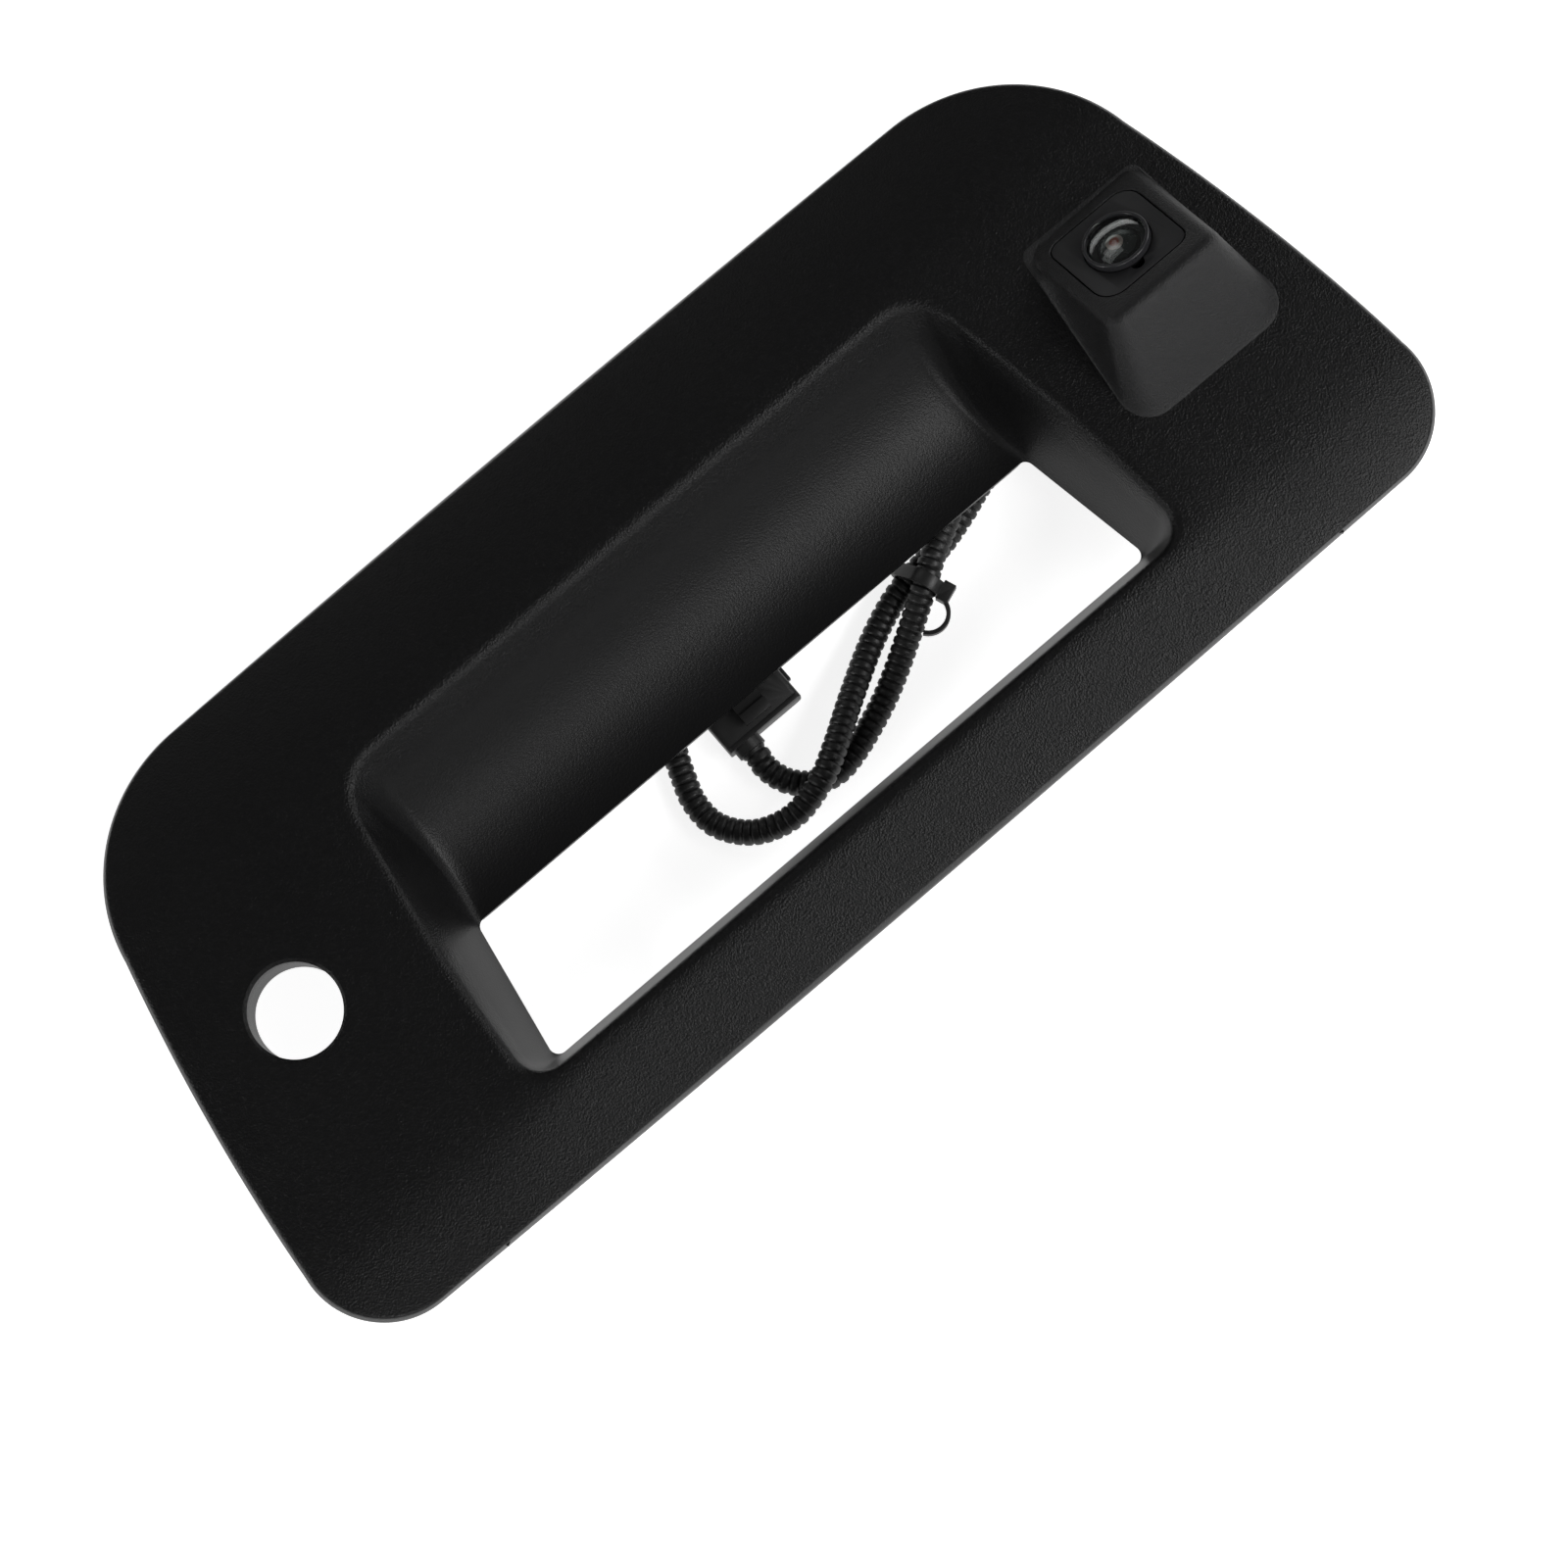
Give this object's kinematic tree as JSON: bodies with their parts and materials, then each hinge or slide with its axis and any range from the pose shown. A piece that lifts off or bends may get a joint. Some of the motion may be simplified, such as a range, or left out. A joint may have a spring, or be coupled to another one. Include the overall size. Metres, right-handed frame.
{
  "type": "tailgate handle bezel with backup camera",
  "caption": "Moulded tailgate handle surround with a recessed hand pocket, a hooded backup camera at one end, a lock bore at the other, spring clips, and a conduit harness with a keyed plug.",
  "frame": {"origin": "under the middle of the bezel, on the surface it lies on, face up on its clip towers", "axes": "+Z out of the face, towards the viewer behind the vehicle; +X along the length to the lock bore; +Y to the upper edge as installed"},
  "size_m": [0.3578, 0.154, 0.0618],
  "materials": {
    "grained_black": "fine grain, satin",
    "grained_charcoal": "finer grain, satin",
    "camera_black": "smooth satin",
    "ring_grey": "smooth",
    "lens_glass": "polished, coated",
    "sensor_dark": "smooth",
    "board_green": "solder mask",
    "rubber_black": "matte",
    "zinc_steel": "zinc plated",
    "spring_steel": "plated spring steel",
    "conduit_black": "corrugated",
    "nylon_black": "smooth nylon",
    "plug_black": "moulded nylon",
    "seal_rust": "silicone",
    "slide_red": "moulded nylon",
    "contact_brass": "tin plated"
  },
  "bodies": {
    "bezel": {"bezel_shell": "grained_black", "pod_housing": "grained_charcoal", "camera_face": "camera_black", "camera_body": "camera_black", "lens_ring": "ring_grey", "lens_dome": "lens_glass", "lens_barrel": "camera_black", "lens_inner": "lens_glass", "lens_stop": "camera_black", "lens_rear": "lens_glass", "image_sensor": "sensor_dark", "sensor_board": "board_green", "cable_board": "board_green", "rear_seal": "rubber_black", "rear_cover": "camera_black", "cable_boot": "rubber_black", "camera_screw_1": "zinc_steel", "camera_screw_2": "zinc_steel", "camera_screw_3": "zinc_steel", "camera_screw_4": "zinc_steel", "pod_screw_1": "zinc_steel", "pod_screw_2": "zinc_steel", "pod_screw_3": "zinc_steel", "pod_screw_4": "zinc_steel", "spring_clip_1": "spring_steel", "spring_clip_2": "spring_steel", "spring_clip_3": "spring_steel", "spring_clip_4": "spring_steel", "spring_clip_5": "spring_steel", "spring_clip_6": "spring_steel", "conduit": "conduit_black", "cable_tie": "nylon_black", "plug_housing": "plug_black", "plug_seal": "seal_rust", "plug_cap": "plug_black", "terminal_1": "contact_brass", "terminal_2": "contact_brass", "terminal_3": "contact_brass", "terminal_4": "contact_brass", "terminal_5": "contact_brass"},
    "latch": {"plug_latch": "plug_black"},
    "slide": {"plug_slide": "slide_red"}
  },
  "joints": [
    {"name": "latch_press", "type": "hinge", "parent": "bezel", "child": "latch", "pos_m": [0.0026, 0.0053, 0.0109], "axis": [1, 0, 0], "range_deg": [-7, 0], "stiffness_Nm_per_rad": 0.2},
    {"name": "slide_pull", "type": "slide", "parent": "bezel", "child": "slide", "axis": [-1, 0, 0], "range_m": [0, 0.0025]}
  ]
}
